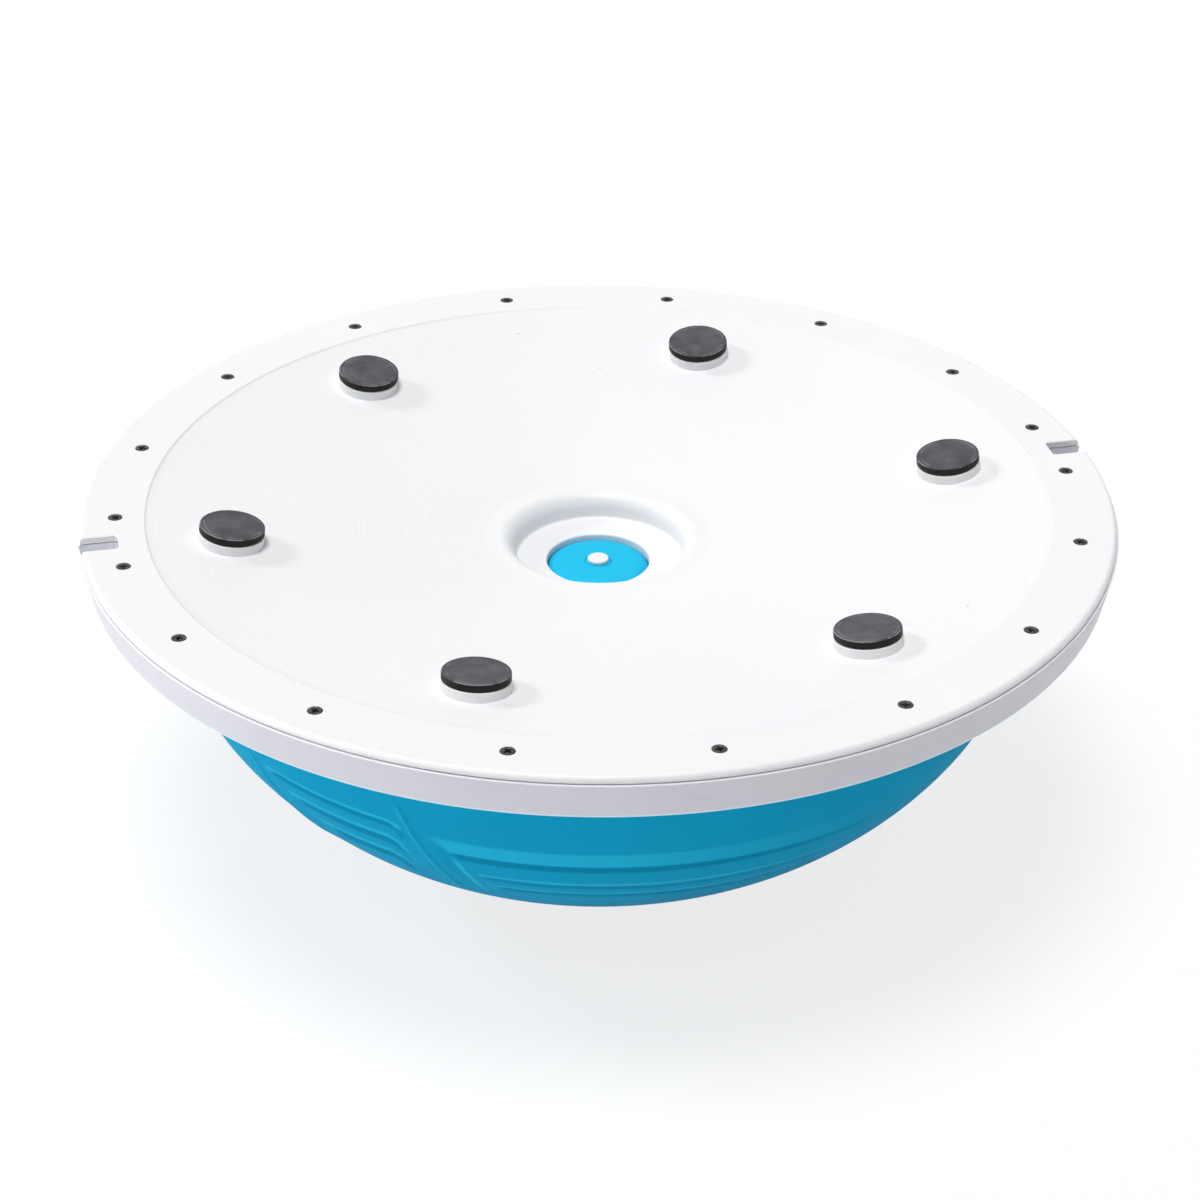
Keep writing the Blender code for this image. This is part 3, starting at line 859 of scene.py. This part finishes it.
def make_dome_vinyl():
    """Cyan vinyl with a faint orange peel: cloudy, a paler lit copy on the membrane as painted
    light, painted shade in the steps and painted highlights on their edges, rubbed near the floor,
    and a painted shadow where the membrane meets the hole's wall."""
    material, tree, shader, where = open_material("dome_cyan_vinyl")
    skin = place_skin(tree, where, (420.0, 6.0, 9.0))
    height = add_node(tree, "ShaderNodeSeparateXYZ", {0: where}).outputs["Z"]
    across = distance_from_axis(tree, where)
    inside_hole = add_range(tree, across, 0.040, 0.034)
    # Painted light: the membrane in the hole takes a paler, lit copy of the vinyl's cyan.
    painted_lit_membrane = add_math(tree, "MULTIPLY", inside_hole, add_range(tree, height, 0.14, 0.15))
    # Painted shadow: a dark ring on the membrane where it meets the hole's wall.
    painted_seat_shadow = add_range(tree, across, hole_radius - 0.0014, hole_radius - 0.0005, 0.0, 0.85)
    painted_seat_shadow = add_math(tree, "MULTIPLY", painted_seat_shadow, painted_lit_membrane)
    painted_relief_shading = add_node(tree, "ShaderNodeAttribute", attribute_name="painted_relief_shading").outputs["Fac"]
    # Painted shade in the steps and painted highlights on the steps' edges, read from the relief's
    # layer.
    painted_step_shade = add_range(tree, painted_relief_shading, 0.0, -1.0, 0.0, 0.42)
    painted_edge_highlight = add_range(tree, painted_relief_shading, 0.1, 0.5, 0.0, 0.40)
    wear_and_glint = add_range(tree, height, 0.05, 0.0, 0.0, 1.0, smooth=True)
    rubbed_clouds = add_math(tree, "MULTIPLY", wear_and_glint, skin["Mottle"])
    colour = add_mix(tree, skin["Mottle"], (0.006, 0.378, 0.635), (0.005, 0.354, 0.602))
    colour = add_mix(tree, painted_lit_membrane, colour, (0.022, 0.510, 0.800))
    colour = add_mix(tree, painted_seat_shadow, colour, (0.002, 0.12, 0.24))
    colour = add_marks(tree, colour, skin["Scratches"], 0.10, (0.10, 0.55, 0.78))
    colour = add_marks(tree, colour, skin["Specks"], 0.15, (0.20, 0.55, 0.70))
    colour = add_mix(tree, painted_step_shade, colour, (0.002, 0.16, 0.30))
    colour = add_mix(tree, painted_edge_highlight, colour, (0.03, 0.66, 0.92))
    colour = add_marks(tree, colour, rubbed_clouds, 0.25, (0.12, 0.40, 0.52))
    rough = add_rough(tree, skin, 0.24, 0.32, 0.15)
    rough = add_math(tree, "ADD", rough, add_math(tree, "MULTIPLY", wear_and_glint, 0.2))
    set_finish(tree, shader, colour, rough, skin["Grain"], 0.12, 0.0002)
    shader.inputs["Specular IOR Level"].default_value = 0.0
    shader.inputs["Coat Weight"].default_value = 0.06
    shader.inputs["Coat Roughness"].default_value = 0.12
    shader.inputs["Coat IOR"].default_value = 1.4
    return material


dome_vinyl = make_dome_vinyl()
half_ball.data.materials.append(dome_vinyl)
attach(half_ball, "trainer")
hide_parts("bladder")

# ---------------------------------------------------------------------------------------------
# Valve seat: a rubber bush in the bladder's cyan, bonded into the membrane. Its flange lies
# against the membrane inside, and its straight bore grips the plug's rings.

seat_low, seat_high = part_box("valve_seat")
seat_bore = 0.004
seat_neck = 0.0072
seat_flange = 0.014
seat_flange_top = swell(seat_flange) - skin_wall - fit_gap
seat_flange_foot = seat_flange_top - 0.002

form = bmesh.new()
draw_section(
    form,
    [
        (seat_bore, seat_high.z, 0.0003, 3),
        (seat_neck, seat_high.z, 0.0004, 3),
        (seat_neck, seat_flange_top),
        (seat_flange, seat_flange_top, 0.0005, 3),
        (seat_flange, seat_flange_foot, 0.0005, 3),
        (seat_neck, seat_flange_foot, 0.001, 3),
        (seat_neck, seat_low.z, 0.0006, 3),
        (seat_bore, seat_low.z),
    ],
)
spin_section(form, 64, 4)
valve_bush = make_piece(form, "valve_bush")
valve_bush.data.materials.append(dome_vinyl)
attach(valve_bush, "trainer")
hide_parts("valve_seat")

# ---------------------------------------------------------------------------------------------
# Valve plug: a white polyethylene stopper with a low round head and three sealing rings on its
# shaft. It pushes into the valve seat by hand and pulls straight out.

plug_low, plug_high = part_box("plug")
plug_under = plug_high.z - 0.002
plug_head = 0.0060
plug_shaft = 0.0033
plug_ring = 0.0037
plug_ring_half = 0.0008
plug_tip = 0.0023
plug_pitch = (plug_under - plug_low.z) / 4

corners = [
    (0, plug_high.z),
    (plug_head / 2, plug_high.z - 0.00004),
    (plug_head, plug_high.z - 0.0001, 0.0007, 5),
    (plug_head, plug_under, 0.0002, 2),
    (plug_shaft, plug_under, 0.0004, 3),
]
for i in range(1, 4):
    middle = plug_under - plug_pitch * i
    corners += [
        (plug_shaft, middle + plug_ring_half),
        (plug_ring, middle, 0.0004, 3),
        (plug_shaft, middle - plug_ring_half),
    ]
corners += [(plug_tip, plug_low.z, 0.0005, 3), (0, plug_low.z)]
form = bmesh.new()
draw_section(form, corners)
open_at_axis(form)
spin_section(form, 64, 4)
stopper = make_piece(form, "stopper")


def make_plug_white():
    """Waxy white polyethylene, a little yellower than the plate, with fine scratches."""
    material, tree, shader, where = open_material("stopper_waxy_white")
    skin = place_skin(tree, where, (2200.0, 160.0, 260.0))
    colour = add_mix(tree, skin["Mottle"], (0.860, 0.862, 0.850), (0.825, 0.828, 0.818))
    colour = add_marks(tree, colour, skin["Scratches"], 0.3, (0.60, 0.60, 0.60))
    rough = add_range(tree, skin["Mottle"], 0.0, 1.0, 0.30, 0.42)
    set_finish(tree, shader, colour, rough, skin["Grain"], 0.2, 0.00006)
    return material


stopper.data.materials.append(make_plug_white())
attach(stopper, "plug")
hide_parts("plug")

# ---------------------------------------------------------------------------------------------
# Feet: six black rubber pads, each moulded in one piece with a barbed peg that snaps through its
# pedestal. A shallow groove runs round the pad's top, inside its rounded edge.

pad_radius = 0.0181
pad_foot = pedestal_height + fit_gap
pad_top = pad_foot + 0.0045
pad_edge = 0.0011
groove_radius = 0.0158
groove_depth = 0.0002
groove_half = 0.0003
peg_neck = 0.0036
barb_radius = 0.0052
barb_top = pad_foot - 0.0036
peg_tip_radius = 0.0022
peg_tip = pad_foot - 0.0076
pad_turn = 1.1


def make_foot_rubber():
    """Black rubber, painted light grey on the flat with a cloudy bloom, grit pressed into it, and a
    painted glint along the top's edge.
    """
    material, tree, shader, where = open_material("foot_black_rubber")
    cloud = add_noise(tree, where, 90.0, 5.0)
    grit = add_noise(tree, where, 1400.0, 2.0)
    pores = add_node(tree, "ShaderNodeTexVoronoi", {"Vector": where, "Scale": 900.0})
    lift = add_node(tree, "ShaderNodeAttribute", attribute_name="lift").outputs["Fac"]
    on_top = add_range(tree, lift, pad_top - 0.0009, pad_top - 0.0001, 0.0, 1.0, smooth=True)
    # Painted light: the flat top is a lit grey over the black sides, clouded like bloom.
    painted_top_light_and_bloom = add_math(tree, "MULTIPLY", on_top, add_range(tree, cloud, 0.35, 0.65, 0.45, 1.0))
    # Painted glint: a pale broken line just inside the top's rounded edge.
    under_edge = add_range(tree, lift, pad_top - 0.0008, pad_top - 0.0006)
    over_edge = add_range(tree, lift, pad_top - 0.0003, pad_top - 0.0001, 1.0, 0.0)
    wear_and_glint = add_math(tree, "MULTIPLY", under_edge, over_edge)
    wear_and_glint = add_math(tree, "MULTIPLY", wear_and_glint, add_range(tree, cloud, 0.44, 0.54, 0.1, 0.75))
    dots = add_range(tree, grit, 0.62, 0.72, 0.0, 0.35)
    colour = add_mix(tree, painted_top_light_and_bloom, (0.008, 0.008, 0.008), (0.098, 0.102, 0.112))
    colour = add_mix(tree, wear_and_glint, colour, (0.30, 0.31, 0.33))
    colour = add_mix(tree, add_math(tree, "MULTIPLY", dots, on_top), colour, (0.16, 0.16, 0.16))
    rough = add_range(tree, cloud, 0.3, 0.7, 0.50, 0.66)
    set_finish(tree, shader, colour, rough, pores.outputs["Distance"], 0.35, 0.00015)
    shader.inputs["Specular IOR Level"].default_value = 0.2
    return material


foot_rubber = make_foot_rubber()
for i in range(6):
    form = bmesh.new()
    draw_section(
        form,
        [
            (0, pad_top),
            (groove_radius - 2 * groove_half, pad_top),
            (groove_radius - groove_half, pad_top - groove_depth),
            (groove_radius + groove_half, pad_top - groove_depth),
            (groove_radius + 2 * groove_half, pad_top),
            (pad_radius, pad_top, pad_edge, 7),
            (pad_radius, pad_foot, 0.0003, 2),
            (peg_neck, pad_foot, 0.0004, 2),
            (peg_neck, barb_top),
            (barb_radius, barb_top, 0.0004, 2),
            (peg_tip_radius, peg_tip, 0.0006, 3),
            (0, peg_tip),
        ],
    )
    open_at_axis(form)
    spin_section(form, 96)
    lift = form.verts.layers.float.new("lift")
    for vert in form.verts:
        vert[lift] = vert.co.z
    turned_foot = foot_places[i] @ Matrix.Rotation(i * pad_turn, 4, "Z")
    bmesh.ops.transform(form, matrix=turned_foot, verts=form.verts[:])
    pad = make_piece(form, f"rubber_pad_{i + 1}")
    pad.data.materials.append(foot_rubber)
    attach(pad, "trainer")
    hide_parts(f"foot_{i + 1}")

# ---------------------------------------------------------------------------------------------
# Screws: eighteen countersunk self-tapping screws in blackened steel, with a cross recess. They
# pull the base plate down on the clamp ring's bosses, and no two end at the same turn.

head_radius = 0.004
shank_radius = 0.00165
thread_radius = 0.0021
thread_pitch = 0.0013
thread_turns = 8
thread_steps = 16
thread_width = 0.0007
head_top = -0.00015
thread_top = head_top - 0.0035
tip = head_top - 0.016
cross_reach = 0.0027
cross_width = 0.0015
cross_depth = 0.0026
cross_taper = (0.35, 0.7, 1)
first_turn = 0.3
turn_between = 2.4


def make_screw_form():
    """One screw, its head's face just under the flange's face at the origin."""
    form = bmesh.new()
    draw_section(
        form,
        [
            (0, head_top),
            (head_radius, head_top, 0.00015, 2),
            (head_radius, head_top - 0.0003),
            (shank_radius, head_top - 0.0027, 0.0004, 2),
            (shank_radius, tip + 0.003, 0.0004, 2),
            (0, tip),
        ],
    )
    open_at_axis(form)
    spin_section(form, 32, 4)
    return form


def cross_tool(name, angle, group):
    """One bar of the cross recess, narrowing downwards."""
    form = bmesh.new()
    past = 0.001
    deep = cross_depth + past
    place = Matrix.Translation((0, 0, head_top + past - deep / 2))
    size = Matrix.Diagonal((2 * cross_reach, cross_width, deep, 1))
    bmesh.ops.create_cube(form, size=1, matrix=place @ size)
    lower = [v for v in form.verts if v.co.z < head_top]
    bmesh.ops.scale(form, verts=lower, vec=cross_taper)
    bmesh.ops.rotate(form, verts=form.verts[:], matrix=Matrix.Rotation(angle, 3, "Z"))
    return make_piece(form, name, group=group)


def make_screw_steel():
    """Black oxide on steel: brown-black and patchy, worn greyer here and there."""
    material, tree, shader, where = open_material("screw_black_oxide")
    cloud = add_noise(tree, where, 420.0, 5.0)
    pits = add_noise(tree, where, 2600.0, 2.0)
    worn = add_range(tree, cloud, 0.52, 0.66)
    colour = add_mix(tree, worn, (0.036, 0.035, 0.035), (0.120, 0.118, 0.114))
    rough = add_range(tree, cloud, 0.3, 0.7, 0.34, 0.52)
    set_finish(tree, shader, colour, rough, pits, 0.3, 0.00005)
    tree.links.new(add_range(tree, worn, 0.0, 1.0, 0.55, 0.85), shader.inputs["Metallic"])
    return material


screw_master = make_piece(make_screw_form(), "screw_master")
cross_cut = tool_group("cross_cut")
cross_tool("cross_1", 0, cross_cut)
cross_tool("cross_2", math.pi / 2, cross_cut)
join_and_cut(screw_master, None, cross_cut)
threaded = bmesh.new()
thread_root = shank_radius - 0.0002
ridge = [
    threaded.verts.new((thread_root, 0, thread_top)),
    threaded.verts.new((thread_radius, 0, thread_top - thread_width / 2)),
    threaded.verts.new((thread_root, 0, thread_top - thread_width)),
]
bmesh.ops.spin(
    threaded,
    geom=[threaded.faces.new(ridge)],
    cent=(0, 0, 0),
    axis=(0, 0, 1),
    dvec=(0, 0, -thread_pitch / thread_steps),
    angle=math.tau * thread_turns,
    steps=thread_steps * thread_turns,
)
bmesh.ops.recalc_face_normals(threaded, faces=threaded.faces[:])
threaded.from_mesh(screw_master.data)
threaded.to_mesh(screw_master.data)
threaded.free()
screw_steel = make_screw_steel()
for i, place in enumerate(screw_places):
    mesh = screw_master.data.copy()
    turned = Matrix.Rotation(i * turn_between + first_turn, 4, "Z")
    mesh.transform(place @ Matrix.Translation((0, 0, plate_top)) @ turned)
    mesh.shade_smooth()
    mesh.set_sharp_from_angle(angle=math.radians(30))
    mesh.materials.clear()
    mesh.materials.append(screw_steel)
    rim_screw = bpy.data.objects.new(f"rim_screw_{i + 1:02d}", mesh)
    bpy.context.scene.collection.objects.link(rim_screw)
    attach(rim_screw, "trainer")
    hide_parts(f"screw_{i + 1:02d}")
bpy.data.objects.remove(screw_master, do_unlink=True)

# ---------------------------------------------------------------------------------------------
# Studio: a white floor that keeps the trainer's shadow, a soft lamp overhead, one at the left and a
# low strip in front on the left, a pale room all round, and the camera where the photograph's was.


def seen_directly(tree):
    """One on rays from the camera, a reflection or glass, and nought on other rays."""
    path = tree.nodes.new("ShaderNodeLightPath").outputs
    seen = add_math(tree, "ADD", path["Is Camera Ray"], path["Is Glossy Ray"], clamp=True)
    return add_math(tree, "ADD", seen, path["Is Transmission Ray"], clamp=True)


floor_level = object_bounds()[0][2]
form = bmesh.new()
bmesh.ops.create_circle(form, cap_ends=True, segments=64, radius=30.0)
bmesh.ops.translate(form, verts=form.verts[:], vec=(0, 0, floor_level - 0.0001))
floor = make_piece(form, "studio_floor")
floor_white, tree, shader, where = open_material("studio_floor_white")
seen = seen_directly(tree)
dust = add_noise(tree, where, 3.0, 3.0)
white = add_mix(tree, dust, (0.79, 0.79, 0.79), (0.82, 0.82, 0.82))
tree.links.new(add_mix(tree, seen, white, (0.20, 0.20, 0.20)), shader.inputs["Base Color"])
tree.links.new(add_math(tree, "MULTIPLY", seen, 0.80), shader.inputs["Emission Strength"])
shader.inputs["Emission Color"].default_value = (1, 1, 1, 1)
shader.inputs["Roughness"].default_value = 0.9
shader.inputs["Specular IOR Level"].default_value = 0.1
floor.data.materials.append(floor_white)

world = bpy.data.worlds.new("pale_room")
bpy.context.scene.world = world
world.use_nodes = True
tree = world.node_tree
room = tree.nodes["Background"].inputs
room["Color"].default_value = (1, 1, 1, 1)
tree.links.new(add_range(tree, seen_directly(tree), 0.0, 1.0, 0.22, 1.0), room["Strength"])

camera_bearing = math.radians(12.8324)
camera_rise = math.radians(30.1001)
camera_roll = math.radians(-0.4071)
camera_distance = 1.5544
aim = Vector((-0.02556, -0.11787, 0.21202))
right = Vector((math.cos(camera_bearing), -math.sin(camera_bearing), 0))
ahead = Vector((math.sin(camera_bearing), math.cos(camera_bearing), 0))
back = Vector((0, 0, math.sin(camera_rise))) - ahead * math.cos(camera_rise)


def lamp_way(bearing, elevation):
    """The way to a lamp, from its bearing off the camera's right, towards ahead, and its rise."""
    across, above = math.radians(bearing), math.radians(elevation)
    level = right * math.cos(across) + ahead * math.sin(across)
    return level * math.cos(above) + Vector((0, 0, math.sin(above)))


def place_lamp(lamp, way, distance, height=0.0):
    """Put a lamp at a distance along a way and a height above it, shining back along the way."""
    hung = bpy.data.objects.new(lamp.name, lamp)
    hung.location = way * distance + Vector((0, 0, height))
    hung.rotation_euler = way.to_track_quat("Z", "Y").to_euler()
    bpy.context.scene.collection.objects.link(hung)


for name, bearing, elevation, softness, strength in (
    ("overhead_lamp", -130, 79, 24, 2.28),
    ("side_lamp", 158, 31, 12, 0.92),
):
    lamp = bpy.data.lights.new(name, "SUN")
    lamp.angle = math.radians(softness)
    lamp.energy = strength
    place_lamp(lamp, lamp_way(bearing, elevation), 3.0)

strip = bpy.data.lights.new("low_lamp", "AREA")
strip.shape = "RECTANGLE"
strip.size = 1.0
strip.size_y = 0.17
strip.energy = 3.2
place_lamp(strip, lamp_way(-150, 0), 1.4, 0.095)

camera_data = bpy.data.cameras.new("studio_camera")
camera_data.sensor_width = 36.0
camera_data.lens = 87.847
camera = bpy.data.objects.new("studio_camera", camera_data)
bpy.context.scene.collection.objects.link(camera)
up = back.cross(right)
axes = (
    right * math.cos(camera_roll) - up * math.sin(camera_roll),
    right * math.sin(camera_roll) + up * math.cos(camera_roll),
    back,
)
stand = Matrix.Translation(aim + back * camera_distance)
camera.matrix_world = stand @ Matrix(axes).transposed().to_4x4()
bpy.context.scene.camera = camera
bpy.context.scene.view_settings.view_transform = "Standard"
